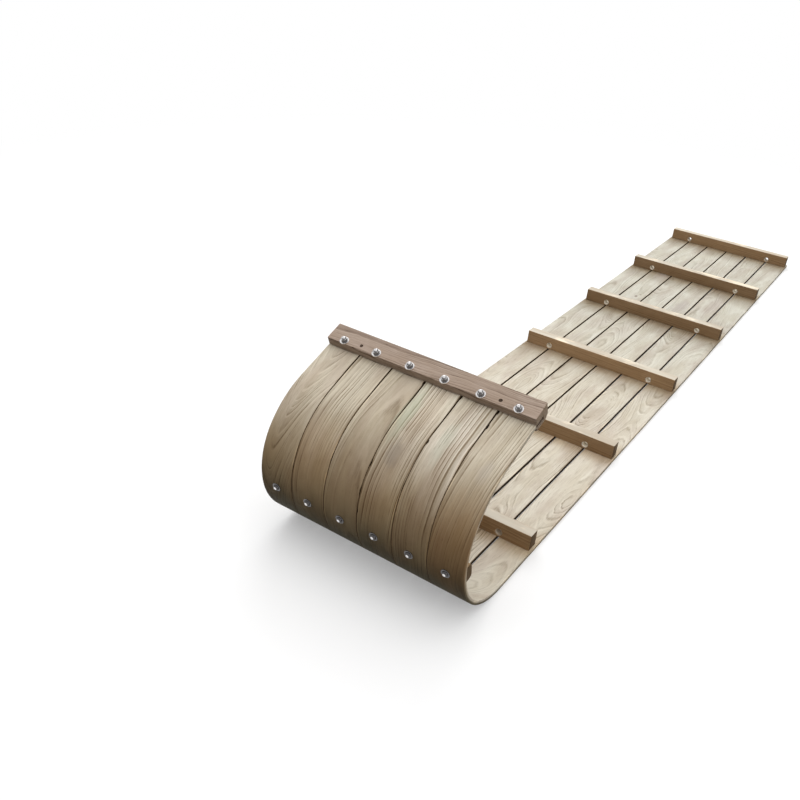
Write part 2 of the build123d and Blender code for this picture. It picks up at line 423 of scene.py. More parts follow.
# whole regions of the wood show their rings less
region = ramp(tree, noise(tree, place, 6.0, 44.0), 0.40, 0.60, 0.06, 1.15)
rings = product(tree, rings, region)
year_tone = product(tree, one_of(tree, total(tree, year, 0.5)), region)
streaks = noise(tree, place, 13.0, 380.0, 4.0, 0.7)
pores = ramp(tree, noise(tree, place, 70.0, 1300.0, 2.0, 0.6), 0.56, 0.66)
pores = product(tree, pores, ramp(tree, phase, 0.2, 0.95, 0.35, 1.0))
hollows = total(tree, product(tree, pores, 0.6), product(tree, rings, 0.35))
height = math(tree, "SUBTRACT", product(tree, streaks, 0.4), hollows)
for label, value in (("Rings", rings), ("Year tone", year_tone), ("Streaks", streaks), ("Pores", pores),
                     ("Height", height)):
    tree.links.new(value, result.inputs[label])
print("Nodes in the oak figure:", len(tree.nodes))

# %% [markdown]
# A second group makes one soft spot: a stain, a knot or a paler patch. It is 1 at its centre and fades to
# nothing at its reach, with a ragged rim. The third makes the long edges pale, partly as wear, where hands
# and the plane's easing cut through the weathered skin, and partly as a painted highlight where the edges
# catch the light. It reads the distance from the edge kept at each point. Beside a seam the pale line lies
# a little in from the edge, because the edge itself is painted dark there, as the seam's painted shade and
# dirt.

# %% Spots, and pale edges worn and painted with highlight
spot, given, result = new_group(
    "spot",
    [("Place", "Vector", None), ("Centre", "Vector", None), ("Reach", "Vector", (0.02, 0.02, 0.02)),
     ("Ragged", "Float", 0.5)],
    [("Mask", "Float")])
away = {0: given["Place"], 1: given["Centre"]}
away = add(spot, "ShaderNodeVectorMath", away, operation="SUBTRACT").outputs[0]
away = add(spot, "ShaderNodeVectorMath", {0: away, 1: given["Reach"]}, operation="DIVIDE").outputs[0]
away = add(spot, "ShaderNodeVectorMath", {0: away}, operation="LENGTH").outputs["Value"]
rough = product(spot, swing(spot, noise(spot, given["Place"], 60.0, 160.0)), given["Ragged"])
spot.links.new(ramp(spot, total(spot, away, rough), 0.25, 1.0, 1.0, 0.0), result.inputs["Mask"])

worn_and_lit_edge, given, result = new_group(
    "worn edge",
    [("Place", "Vector", None), ("From edge", "Float", 10.0 * MM), ("Inset", "Float", 0.0),
     ("Width", "Float", 2.0 * MM), ("Amount", "Float", 0.5)],
    [("Mask", "Float")])
# a pale band along an edge: partly wear, partly a painted highlight where the edge catches the light
patches = ramp(worn_and_lit_edge, noise(worn_and_lit_edge, given["Place"], 14.0, 30.0, 3.0, 0.6), 0.48, 0.66)
off_line = math(worn_and_lit_edge, "ABSOLUTE", math(worn_and_lit_edge, "SUBTRACT", given["From edge"], given["Inset"]))
band = ramp(worn_and_lit_edge, math(worn_and_lit_edge, "DIVIDE", off_line, given["Width"]), 0.0, 1.0, 1.0, 0.0)
worn_and_lit = product(worn_and_lit_edge, band, product(worn_and_lit_edge, patches, given["Amount"]))
worn_and_lit_edge.links.new(worn_and_lit, result.inputs["Mask"])
print("Nodes in the spot and the worn edge:", len(spot.nodes), len(worn_and_lit_edge.nodes))

# %% [markdown]
# ## The oak finishes
# The wood is bare or thinly oiled, so it is matt, with a little sheen where fibres stand up. The top face
# has weathered to a pale grey beige. The outer face, which slides on the snow, is browner, and low on the
# nose it is painted browner and darker still, partly as browner wood and partly as painted shade. Battens
# are a warmer brown, and the headpiece has gone greyish and a little purple.
# One function makes every oak. It could hold a switch for each piece, but two small functions that say how
# the grain runs, and one for each piece's own colouring, are easier to read and to change.

# %% How the grain runs
def kept_value(tree, name):
    """A value kept at each point of a plank."""
    return add(tree, "ShaderNodeAttribute", attribute_name=name).outputs["Fac"]


def kept_vector(tree, name):
    """A vector kept at each point of a plank."""
    return add(tree, "ShaderNodeAttribute", attribute_name=name).outputs["Vector"]


def plank_grain(tree, spacing, ripple):
    """How the figure runs through a new plank, from the values kept at its points."""
    return {"place": kept_vector(tree, "log_place"), "growth": kept_value(tree, "growth"),
            "spacing": product(tree, kept_value(tree, "ring_scale"), spacing),
            "ripple": product(tree, kept_value(tree, "ripple"), ripple),
            "figure": kept_value(tree, "figure"), "end_grain": kept_value(tree, "end_grain")}


def bar_grain(tree, spacing, ripple, figure, log_shift, half_length):
    """The same for a packed bar that lies across the toboggan: its coordinates are turned to the grain."""
    coordinates = object_place(tree)
    turned_to_grain = {"Vector": coordinates, "Rotation": (0.0, 0.0, np.radians(90)), "Location": log_shift}
    lengthwise = parts_of(tree, coordinates)[1]
    end_grain = ramp(tree, math(tree, "ABSOLUTE", lengthwise), half_length - 0.7 * MM, half_length - 0.2 * MM)
    return {"place": add(tree, "ShaderNodeMapping", turned_to_grain).outputs[0],
            "growth": product(tree, lengthwise, 0.035), "spacing": spacing, "ripple": ripple,
            "figure": figure, "end_grain": end_grain}


# %% One function for every oak
WOOD_SPECULAR = 0.06


def oak(name, light, dark, grain_of, colouring=None, roughness=0.6, ends=0.26):
    """An oak material from a light and a dark colour.

    grain_of(tree) says how the grain runs, colouring(tree, place, colour) adds the piece's own changes,
    and ends is how light the end grain is against the faces.
    """
    material = bpy.data.materials.new(name)
    material.use_nodes = True
    tree = material.node_tree
    shader = tree.nodes["Principled BSDF"]
    grain = grain_of(tree)
    place, figure = grain["place"], grain["figure"]
    wood = use(tree, oak_figure, Log_place=place, Growth=grain["growth"], Ring_spacing=grain["spacing"],
               Ripple=grain["ripple"])
    cloudy = ramp(tree, noise(tree, place, 11.0, 36.0, 4.0, 0.6), 0.34, 0.66, 0.0, 0.9)
    pale = mix(tree, cloudy, light, darker(light, 0.87, 0.84, 0.80))
    softer = ramp(tree, wood["Streaks"], 0.32, 0.72, 0.02, 0.32)
    softer = total(tree, softer, product(tree, wood["Year tone"], 0.22))
    amount = total(tree, product(tree, wood["Rings"], figure), product(tree, softer, figure))
    amount = math(tree, "ADD", amount, product(tree, wood["Pores"], 0.34), clamp=True)
    colour = mix(tree, amount, pale, dark)
    if colouring is not None:
        colour = colouring(tree, place, colour)
    end_colour = mix(tree, math(tree, "MAXIMUM", wood["Rings"], 0.0),
                     darker(light, ends, 0.92 * ends, 0.75 * ends),
                     darker(light, 0.4 * ends, 0.36 * ends, 0.28 * ends))
    tree.links.new(mix(tree, grain["end_grain"], colour, end_colour), shader.inputs["Base Color"])
    rough = ramp(tree, wood["Streaks"], 0.2, 0.8, roughness - 0.08, roughness + 0.1)
    tree.links.new(rough, shader.inputs["Roughness"])
    bump = add(tree, "ShaderNodeBump", {"Strength": 0.35, "Distance": 0.4 * MM, "Height": wood["Height"]})
    tree.links.new(bump.outputs[0], shader.inputs["Normal"])
    shader.inputs["Specular IOR Level"].default_value = WOOD_SPECULAR
    return material


def edges_holes_and_seams(tree, place, colour):
    """Pale edges, partly worn and partly a painted highlight; pale cut wood in the holes, near white in
    the rope holes as painted light; and sides painted dark where a plank faces a seam, as painted shade and
    dirt.
    """
    inset = product(tree, kept_value(tree, "beside_seam"), 1.7 * MM)
    worn_and_lit = use(tree, worn_and_lit_edge, Place=place, From_edge=kept_value(tree, "from_edge"), Inset=inset,
               Width=1.6 * MM, Amount=0.85)["Mask"]
    # pale edges: partly wear, partly a painted highlight
    colour = tinted(tree, worn_and_lit, colour, (1.55, 1.50, 1.42))
    # pale cut wood in the holes; in the rope holes it is near white, which is painted light
    colour = mix(tree, kept_value(tree, "in_hole"), colour, (0.97, 0.92, 0.81))
    # the sides facing a seam are painted near black: painted shade of the narrow gap, with dirt
    return mix(tree, product(tree, kept_value(tree, "seam"), 0.95), colour, (0.045, 0.024, 0.008))


# %% [markdown]
# ## Where each slat lay in its log
# Slats are sawn from different places in different logs, so no two show the same figure. Each could have
# a texture of its own, but one log is enough when every slat has its own stretch of it and lies at its
# own distance from the pith. On the deck the rings lie closer and wander more, in the nose they run
# straighter, and the figure passes smoothly from one to the other.

# %% Places in the log
SLAT_COUNT, SLAT_WIDTH, SLAT_GAP, SLAT_THICKNESS = 6, 63.5 * MM, 2.5 * MM, 8.0 * MM
slat_centres = (np.arange(SLAT_COUNT) - (SLAT_COUNT - 1) / 2) * (SLAT_WIDTH + SLAT_GAP)
# for each slat: how far it lies beside and over the pith, first on the deck and then in the nose, how fast
# the rings shift along it in the nose, and how strong its lines are on the deck and in the nose
slat_logs = np.array([
    [0.020, 0.026, 0.012, 0.010, -0.20, 0.50, 0.80],
    [-0.010, 0.020, 0.050, 0.020, 0.010, 0.42, 1.00],
    [0.018, 0.030, -0.020, 0.050, 0.040, 0.50, 0.62],
    [0.045, 0.020, 0.060, 0.020, -0.012, 0.50, 1.25],
    [0.012, 0.021, -0.055, 0.025, 0.015, 0.64, 1.15],
    [-0.014, 0.024, 0.060, 0.020, -0.030, 0.48, 0.95]])
# the two slats with the most rippled rings
WILD_SLATS = (5, 6)
LOG_STRETCH = 7.0


def wave(s, height, length, phase):
    """height times sin(a full turn times s / length + phase)."""
    return height * np.sin(2 * np.pi * s / length + phase)


def in_log(number, points):
    """What a slat's points keep: their place in the log, and the rings' shift, strength, ripple and spacing.

    The pith wanders: its offset and height pass from the deck's to the nose's by a smooth step, with a
    slow wave. The shift is a sum of waves, which makes the arches, and a slope in the nose. The lines are
    fainter towards the tail and low on the nose, and on the last slat ahead of the last batten.
    """
    s = points[:, 0]
    offset, height, nose_offset, nose_height, slope, lines, nose_lines = slat_logs[number - 1]
    step = np.clip((s - DECK_LENGTH + 0.05) / 0.25, 0, 1)
    step = step * step * (3 - 2 * step)
    phases = np.random.default_rng(40 + number).uniform(0, 2 * np.pi, 3)
    aside = offset + (nose_offset - offset) * step + wave(s, 6.0 * MM, 0.9, phases[0])
    above = height + (nose_height - height) * step
    waves = wave(s, 7.5 * MM, 0.62, phases[1]) + wave(s, 3.5 * MM, 0.27, phases[2])
    shift = waves * (1 - step) + slope * (s - DECK_LENGTH - 0.29) * step
    lines = lines * np.interp(s, (0.9, 1.8), (0.78, 1.0))
    nose_lines = nose_lines * np.interp(s, (DECK_LENGTH + 0.24, DECK_LENGTH + 0.39), (0.60, 1.0))
    if number == SLAT_COUNT:
        lines = lines * np.interp(s, (1.88, 1.98), (1.0, 0.5))
        nose_lines = nose_lines * np.interp(s, (2.1, 2.3), (0.6, 1.0))
    wild = 0.5 if number in WILD_SLATS else 0.35
    return {"log_place": np.stack([s + LOG_STRETCH * number, points[:, 1] + aside, points[:, 2] + above], -1),
            "growth": shift, "figure": lines + (nose_lines - lines) * step,
            "ripple": wild + (0.2 - wild) * step, "ring_scale": 0.64 + 0.36 * step}


print("Slat centres:", slat_centres.round(4))

# %% [markdown]
# ## The slats' own colours
# Broad changes come first. Beside the battens the wood is warm, partly less weathered wood and partly
# painted bounce light and shade from the battens. Ahead of each batten near the tail it is darker, as
# painted shade, and towards the tail weather has left it greyer. The nose darkens downwards and is darkest
# at its bottom, as painted shade. Then come single marks. They could be painted as an image. Here each is
# a spot whose place is given on the slat and looked up in its log, so it bends with the wood.

# %% Broad changes on the two faces
BATTEN_COUNT, BATTEN_WIDTH = 6, 25.0 * MM
first_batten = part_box("cross_batten_1")[0].x + BATTEN_WIDTH / 2 - TAIL
last_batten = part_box(f"cross_batten_{BATTEN_COUNT}")[0].x + BATTEN_WIDTH / 2 - TAIL
batten_places = np.linspace(first_batten, last_batten, BATTEN_COUNT)
print("Cross battens at", batten_places.round(4))


def top_face(tree, place, s, inside, colour):
    """The top face: warm beside the battens, partly less weathered wood and partly painted bounce light and
    shade; painted shade ahead of them near the tail; and greyer there.
    """
    step, half = (last_batten - first_batten) / (BATTEN_COUNT - 1), BATTEN_WIDTH / 2
    battens_passed = math(tree, "DIVIDE", math(tree, "SUBTRACT", s, first_batten), step)
    past = product(tree, math(tree, "FRACT", battens_passed), step)
    ahead = product(tree, ramp(tree, past, half, half + 45 * MM, 1.0, 0.0),
                    ramp(tree, s, last_batten + 60 * MM, last_batten + 100 * MM, 0.75, 0.0))
    beside = math(tree, "MAXIMUM", ahead, ramp(tree, past, step - half - 50 * MM, step - half, 0.0, 0.6))
    # warm wood beside the battens: painted bounce light and shade from them, with less weathered wood
    colour = tinted(tree, product(tree, beside, inside), colour, (0.80, 0.66, 0.50))
    # painted shade of each batten, ahead of it near the tail
    uneven_past = total(tree, past, product(tree, swing(tree, noise(tree, place, 10.0, 45.0)), 50 * MM))
    painted_batten_shade = product(tree, ramp(tree, uneven_past, half + 18 * MM, half + 115 * MM, 1.0, 0.0),
                   ramp(tree, s, 0.9, 1.7, 1.0, 0.0))
    colour = tinted(tree, product(tree, painted_batten_shade, inside), colour, (0.58, 0.53, 0.48))
    grey = product(tree, ramp(tree, s, 0.7, 1.5, 1.0, 0.0), inside)
    colour = tinted(tree, grey, colour, (0.89, 0.935, 0.967))
    return tinted(tree, inside, colour, (0.945, 0.94, 0.93))


def outer_face(tree, place, s, outside, colour):
    """The outer face: a little browner; low on the nose browner and darker, partly browner wood and partly
    painted shade; and darkest at the nose's bottom, more so on the -y side, as painted shade.
    """
    colour = tinted(tree, outside, colour, (0.965, 0.935, 0.89))
    uneven_s = total(tree, s, product(tree, noise(tree, place, 9.0, 30.0), 80 * MM))
    # painted shade, with browner wood: the nose darkens and browns downwards
    low = ramp(tree, uneven_s, DECK_LENGTH + 280 * MM, DECK_LENGTH + 460 * MM, 1.0, 0.0)
    colour = tinted(tree, product(tree, outside, low), colour, (0.565, 0.46, 0.34))
    # painted shade at the nose's bottom, stronger on the -y side
    painted_bottom_shade = ramp(tree, uneven_s, DECK_LENGTH + 160 * MM, DECK_LENGTH + 330 * MM, 1.0, 0.0)
    shade_to_one_side = ramp(tree, parts_of(tree, object_place(tree))[1], -0.2, 0.2, 1.0, 0.5)
    colour = tinted(tree, product(tree, painted_bottom_shade, outside, shade_to_one_side), colour, (0.62, 0.66, 0.64))
    # painted shade, darkest where the nose is lowest
    painted_darkest_shade = ramp(tree, uneven_s, DECK_LENGTH + 175 * MM, DECK_LENGTH + 275 * MM, 1.0, 0.0)
    in_nose = ramp(tree, s, DECK_LENGTH - 250 * MM, DECK_LENGTH + 100 * MM)
    return tinted(tree, product(tree, painted_darkest_shade, outside, in_nose), colour, (0.35, 0.40, 0.41))


# %% Marks and zones
MARK_DEPTH, ZONE_DEPTH, ZONE_ACROSS = 20 * MM, 30 * MM, 4 * MM
# slat, place from the tail, place across, reach along and across, how ragged, how strong, colour
marks_on_slats = (
    (4, 2.347, -0.006, (0.035, 0.020), 1.2, 0.42, (0.20, 0.165, 0.14)),
    (6, 2.381, 0.006, (0.030, 0.016), 0.8, 0.40, (0.56, 0.50, 0.43)),
    (2, 0.410, 0.012, (0.110, 0.030), 1.0, 0.40, (0.42, 0.36, 0.33)),
    (4, 0.637, 0.004, (0.100, 0.030), 1.0, 0.50, (0.38, 0.33, 0.31)),
    (5, 0.560, 0.010, (0.120, 0.030), 1.0, 0.30, (0.46, 0.39, 0.36)),
    (3, 2.430, 0.031, (0.070, 0.003), 0.4, 0.45, (0.24, 0.30, 0.20)),
    (4, 2.425, -0.024, (0.085, 0.018), 0.6, 0.42, (0.36, 0.41, 0.29)),
    (5, 2.400, -0.008, (0.060, 0.016), 0.8, 0.35, (0.44, 0.46, 0.35)),
    (2, 0.645, 0.008, (0.010, 0.006), 0.6, 0.85, (0.17, 0.115, 0.095)),
    (2, 0.625, 0.014, (0.006, 0.004), 0.6, 0.60, (0.20, 0.14, 0.12)),
)
# zones of the nose that are darker, lighter or browner than their slat: slat, place from the tail, reach
# along and across, how ragged, and what the colour is multiplied by
zones_on_slats = (
    (3, 2.410, (0.170, 0.080), 0.5, (0.89, 0.87, 0.84)),
    (4, 2.480, (0.100, 0.080), 0.5, (1.24, 1.27, 1.30)),
    (6, 2.245, (0.150, 0.090), 0.3, (0.85, 0.755, 0.66)),
    (2, 2.290, (0.100, 0.080), 0.3, (1.14, 1.12, 1.10)),
    (4, 2.270, (0.110, 0.080), 0.3, (1.14, 1.14, 1.14)),
    (5, 2.380, (0.150, 0.080), 0.5, (1.12, 1.14, 1.20)),
)


def mask_on_slat(tree, place, number, s, across, reach, ragged):
    """The mask of a spot on one slat, its place looked up in the slat's log."""
    middle = in_log(number, np.array([[s, across, SLAT_THICKNESS / 2]]))["log_place"][0]
    return use(tree, spot, Place=place, Centre=middle, Reach=reach, Ragged=ragged)["Mask"]


def slat_colouring(tree, place, colour):
    """A slat's colours: mauve in places, its faces, its marks and zones, and a dark band along the seams that
    is painted shade with dirt.
    """
    s, _, n = parts_of(tree, kept_vector(tree, "plank_place"))
    outside = ramp(tree, n, 0.25 * SLAT_THICKNESS, 0.75 * SLAT_THICKNESS, 1.0, 0.0)
    mauve = ramp(tree, noise(tree, place, 8.0, 26.0, 3.0), 0.42, 0.66, 0.0, 0.65)
    colour = tinted(tree, mauve, colour, (0.84, 0.79, 0.79))
    colour = top_face(tree, place, s, math(tree, "SUBTRACT", 1.0, outside), colour)
    colour = outer_face(tree, place, s, outside, colour)
    for number, mark_s, across, reach, ragged, strength, stain in marks_on_slats:
        mask = mask_on_slat(tree, place, number, mark_s, across, (*reach, MARK_DEPTH), ragged)
        colour = mix(tree, product(tree, mask, strength), colour, stain)
    for number, zone_s, reach, ragged, tint in zones_on_slats:
        mask = mask_on_slat(tree, place, number, zone_s, ZONE_ACROSS, (*reach, ZONE_DEPTH), ragged)
        colour = tinted(tree, mask, colour, tint)
    # a dark band beside each seam: painted shade of the seam, with dirt
    near_edge = ramp(tree, kept_value(tree, "from_edge"), 0.2 * MM, 1.3 * MM, 0.85, 0.0)
    seam_shade_and_dirt = product(tree, near_edge, kept_value(tree, "beside_seam"))
    return edges_holes_and_seams(tree, place, mix(tree, seam_shade_and_dirt, colour, (0.13, 0.085, 0.045)))


def slat_grain(tree):
    """The slats' rings, wide and rippled."""
    return plank_grain(tree, 5.6 * MM, 20 * MM)


slat_oak = oak("slat oak", (0.74, 0.69, 0.585), (0.27, 0.215, 0.145), slat_grain, slat_colouring)
print("Nodes in the slat oak:", len(slat_oak.node_tree.nodes))

# %% [markdown]
# ## The battens' and the headpiece's oak
# The cross battens are a warm brown on their sides, and each is a little lighter or darker than the next.
# Their top faces are painted as pale as the deck, partly as weathered wood open to the weather and partly
# as painted light from above. The headpiece and the nose batten keep the imported shapes, which have no
# kept values, so their grain reads the object's coordinates.

# %% The other three oaks
BAR_END, NOSE_BATTEN_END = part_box("headpiece")[1].y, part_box("nose_batten")[1].y


def batten_colouring(tree, place, colour):
    """A batten's colours: a pale top face, partly weathered and partly painted light from above, and sides as
    dark as the batten's depth says.
    """
    weathered_and_lit_top = kept_value(tree, "weathered_and_lit_top")
    cloudy = ramp(tree, noise(tree, place, 8.0, 60.0, 3.0), 0.35, 0.65)
    # pale top face: weathered wood and painted light from above
    pale = mix(tree, cloudy, (0.69, 0.64, 0.54), (0.59, 0.52, 0.42))
    colour = mix(tree, product(tree, weathered_and_lit_top, 0.9), colour, pale)
    on_sides = math(tree, "SUBTRACT", 1.0, product(tree, weathered_and_lit_top, 0.7))
    depth = product(tree, kept_value(tree, "depth"), on_sides)
    return edges_holes_and_seams(tree, place, tinted(tree, depth, colour, (0.60, 0.60, 0.60)))


def batten_grain(tree):
    """The battens' rings, close and straight."""
    return plank_grain(tree, 3.2 * MM, 3 * MM)


def headpiece_grain(tree):
    """The headpiece's rings."""
    return bar_grain(tree, 5.6 * MM, 16 * MM, 0.95, (3.0, 0.02, -0.27), BAR_END)


def nose_batten_grain(tree):
    """The nose batten's rings, close and faint."""
    return bar_grain(tree, 3.4 * MM, 4 * MM, 0.6, (5.0, 1.10, -0.08), NOSE_BATTEN_END)


batten_oak = oak("batten oak", (0.45, 0.295, 0.165), (0.22, 0.13, 0.06), batten_grain, batten_colouring)
headpiece_oak = oak("headpiece oak", (0.465, 0.365, 0.295), (0.15, 0.10, 0.07), headpiece_grain,
                    roughness=0.5, ends=0.6)
nose_batten_oak = oak("nose batten oak", (0.45, 0.31, 0.18), (0.22, 0.14, 0.07), nose_batten_grain)
print("The bars' ends lie at", round(BAR_END, 5), "and", round(NOSE_BATTEN_END, 5))

# %% [markdown]
# ## The slats
# Each slat is a planed strip with a countersunk hole under every cross batten, a bolt hole in the nose and
# one near the tip. The seams of the real ones aren't quite even: they are widest on the deck, nearly
# closed where the bend is tightest, and open again at the tip. Their edges stray by a few tenths of a
# millimetre and are chipped in places on the bend, where the wood was stretched. The tow rope's holes
# take a shallow bite out of the two slats beside them. The edges could be sculpted by hand. Here each is
# a function of the length, so a seam's width or a chip is a number that can be changed.

# %% Holes of a slat
SCREW_HOLE, BOLT_HOLE, TOW_HOLE = 2.2 * MM, 3.2 * MM, 3.25 * MM
COUNTERSINK, SINK_DEPTH = 4.65 * MM, 2.8 * MM
NOSE_BOLT_TURN = np.radians(16.7)
nose_bolt_place = DECK_LENGTH + ARCS[0][0] * ARCS[0][1] + ARCS[1][0] * NOSE_BOLT_TURN
headpiece_bolt_place = SLAT_LENGTH - 15.7 * MM
tow_hole_place = SLAT_LENGTH - 12.5 * MM
# half the length of the cell round a hole, and its parts
SLAT_CELL = (9 * MM, 8)
countersunk = ((COUNTERSINK, 0.0, 1.0), (SCREW_HOLE, SINK_DEPTH, 1.0), (SCREW_HOLE, SLAT_THICKNESS, 1.0))
straight = ((BOLT_HOLE, 0.0, 1.0), (BOLT_HOLE, SLAT_THICKNESS, 1.0))
slat_holes = [(place, 0.0, *SLAT_CELL, countersunk) for place in batten_places]
slat_holes += [(place, 0.0, *SLAT_CELL, straight) for place in (nose_bolt_place, headpiece_bolt_place)]
print("Holes in a slat:", len(slat_holes))

# %% Edges of a slat
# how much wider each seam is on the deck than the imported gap, from the first seam to the last
seam_widths = np.array([1.1, 1.0, 1.0, 1.9, 1.8]) * MM
# in the nose all draw together by this much, and open again towards the tip
nose_seam_places, nose_seam_widths = (2.15, 2.34, 2.40, 2.46), np.array([-2.1, -2.1, -1.7, -0.6]) * MM
# height and length of an edge's waves
EDGE_WAVES = ((0.15 * MM, 0.83), (0.10 * MM, 0.31), (0.08 * MM, 0.12))
# seam, place from the tail, half length, depth and which side of the seam is chipped
chips = ((5, 2.453, 6 * MM, 1.8 * MM, 0), (4, 2.388, 5 * MM, 1.7 * MM, 0), (3, 2.322, 7 * MM, 1.7 * MM, 0),
         (3, 2.275, 9 * MM, 1.2 * MM, 1), (3, 2.240, 6 * MM, 1.3 * MM, 0), (3, 2.486, 7 * MM, 1.8 * MM, 1),
         (4, 2.486, 6 * MM, 1.5 * MM, 0), (5, 2.486, 7 * MM, 2.0 * MM, 0), (2, 2.300, 12 * MM, 0.5 * MM, 1),
         (4, 2.310, 10 * MM, 0.5 * MM, 1), (1, 2.260, 9 * MM, 0.5 * MM, 0), (5, 1.420, 8 * MM, 0.7 * MM, 1),
         (4, 1.800, 9 * MM, 0.6 * MM, 0), (3, 0.980, 10 * MM, 0.6 * MM, 1), (2, 1.230, 7 * MM, 0.6 * MM, 0))


def uneven(number, side):
    """How far a slat's edge stands in along s: its seam's share, slow waves, chips, and the tow hole's bite.

    The two edges of a seam share their waves, so the seam wanders and stays open. A chip is a rounded dent,
    its depth times (1 - (distance / half length) squared) where that is above zero. The bite is the tow
    hole's circle, less half the gap.
    """
    seam = number - 1 + side
    phases = np.random.default_rng(100 + seam).uniform(0, 2 * np.pi, 3)

    def stands_in(s):
        waves = sum(wave(s, *size, phase) for size, phase in zip(EDGE_WAVES, phases))
        if seam in (0, SLAT_COUNT):
            return np.abs(waves) + 0.1 * MM
        waves = waves * np.interp(s, (DECK_LENGTH, 2.2), (1, 2.5))
        width_places = (DECK_LENGTH - 20 * MM, *nose_seam_places)
        share = np.interp(s, width_places, (seam_widths[seam - 1], *nose_seam_widths)) / 2
        dent = sum(depth * np.clip(1 - ((s - at) / half) ** 2, 0, None)
                   for line, at, half, depth, on_side in chips if line == seam and on_side == side)
        inset = (waves if side == 1 else -waves) + share + dent
        if seam in (1, SLAT_COUNT - 1):
            bite = np.sqrt(np.clip(TOW_HOLE ** 2 - (s - tow_hole_place) ** 2, 0, None)) - SLAT_GAP / 2
            inset = np.where(np.abs(s - tow_hole_place) < TOW_HOLE, np.maximum(inset, bite), inset)
        return inset

    return stands_in


print("Chips:", len(chips))

# %% Build the six slats
SLAT_EASE, SLAT_PARTS, GROOVE_STRETCH = 0.6 * MM, 8, 22 * MM


def slat_spacing(s):
    """Stations stand 40 mm apart on the flat deck and 3 mm on the bend."""
    return 40 * MM if s < DECK_LENGTH else 3 * MM


for number, centre in enumerate(slat_centres, start=1):
    points, faces, marks = plank(SLAT_LENGTH, SLAT_WIDTH, SLAT_THICKNESS, SLAT_EASE, SLAT_PARTS, slat_spacing,
                                 slat_holes, pinch=(uneven(number, 0), uneven(number, 1)))
    # the sides that face another slat and the stretch in the headpiece's groove are painted dark: painted
    # shade of the narrow seams and the groove, with dirt
    seam = (number > 1) * marks.pop("low_side") + (number < SLAT_COUNT) * marks.pop("high_side")
    seam = np.maximum(seam, points[:, 0] > SLAT_LENGTH - GROOVE_STRETCH)
    beside_seam = np.where(points[:, 1] < 0, number > 1, number < SLAT_COUNT)
    slat = make_object(f"oak_slat_{number}", bent(points + [0, centre, 0]), faces, slat_oak,
                       plank_place=points, seam=seam, beside_seam=beside_seam,
                       **in_log(number, points), **marks)
    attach(slat, "root")
    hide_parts(f"slat_{number}")
    print(slat.name, "faces:", len(slat.data.polygons))

# %% [markdown]
# ## The cross battens
# Six planed bars stand on edge across the deck. Each has a hole from front to back over the outermost
# seams, which the side ropes run through, with a chamfer at both mouths. The plank function serves again:
# the bar's length runs across the toboggan, its width upwards and its thickness from back to front. The
# picture shows the holes light inside, so the bore is pale: partly cut wood and partly painted light, near
# white a little way in from each mouth and less pale deep in the middle, where the hole's shade is painted.
# A box with a Bevel and Boolean holes could be made instead, but its faces round the holes would be untidy.

# %% A batten's rope holes
BATTEN_HEIGHT, BATTEN_EASE, BATTEN_PARTS, BATTEN_SPACING = 32.0 * MM, 1.0 * MM, 10, 20 * MM
ROPE_HOLE, ROPE_CHAMFER, ROPE_HOLE_HEIGHT, BATTEN_CELL = 6.0 * MM, 2.0 * MM, 10.0 * MM, (14 * MM, 7)
# how deep the pale wood, painted light as well as cut wood, goes in from the chamfer
LIGHT_DEPTH = 7 * MM
rope_lines = np.array([slat_centres[:2].mean(), slat_centres[-2:].mean()])
# radius, depth and how pale, as cut wood and painted light, from one mouth to the middle
half_bore = [(ROPE_HOLE + ROPE_CHAMFER, 0.0, 0.0), (ROPE_HOLE + ROPE_CHAMFER / 2, ROPE_CHAMFER / 2, 0.2),
             (ROPE_HOLE, ROPE_CHAMFER, 1.0), (ROPE_HOLE, ROPE_CHAMFER + LIGHT_DEPTH, 1.0)]
rope_bore = [*half_bore, (ROPE_HOLE, BATTEN_WIDTH / 2, 0.4),
             *((radius, BATTEN_WIDTH - depth, fresh) for radius, depth, fresh in reversed(half_bore))]
print("Rope holes at", rope_lines.round(4), "with rings:", len(rope_bore))

# %% Build the six cross battens
# how dark each batten's wood is, and how pale its rope holes are painted, as cut wood and painted light,
# from the tail to the nose
batten_depths = (0.15, 0.65, 0.55, 0.0, 0.5, 0.3)
batten_bores = (0.8, 1.0, 1.0, 1.0, 1.0, 0.6)
for number in range(1, BATTEN_COUNT + 1):
    low, high = (np.array(corner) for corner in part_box(f"cross_batten_{number}"))
    off_middle = ROPE_HOLE_HEIGHT - BATTEN_HEIGHT / 2
    holes = [(line - low[1], off_middle, *BATTEN_CELL, rope_bore) for line in rope_lines]
    points, faces, marks = plank(high[1] - low[1], BATTEN_HEIGHT, BATTEN_WIDTH, BATTEN_EASE, BATTEN_PARTS,
                                 lambda s: BATTEN_SPACING, holes)
    marks["in_hole"] = marks["in_hole"] * batten_bores[number - 1]
    # the top face, painted pale as weathered wood and as painted light from above
    marks["weathered_and_lit_top"] = marks.pop("high_side")
    plain = 0 * marks.pop("low_side")
    s, w, n = points.T
    placed = np.stack([low[0] + n, low[1] + s, low[2] + BATTEN_HEIGHT / 2 + w], -1)
    in_their_log = points + [50.0 + 3 * number, 0.035 + 0.004 * number, 0.040]
    batten = make_object(f"oak_batten_{number}", placed, faces, batten_oak, log_place=in_their_log,
                         growth=0.02 * s, figure=plain + 0.75, ripple=plain + 1, ring_scale=plain + 1,
                         seam=plain, beside_seam=plain, depth=plain + batten_depths[number - 1], **marks)
    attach(batten, "root")
    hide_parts(f"cross_batten_{number}")
    print(batten.name, "faces:", len(batten.data.polygons))

# %% [markdown]
# ## The headpiece and the nose batten
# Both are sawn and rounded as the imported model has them. New surfaces could be built for them too, but
# nothing would be gained, so their own shapes stay and take a finish.

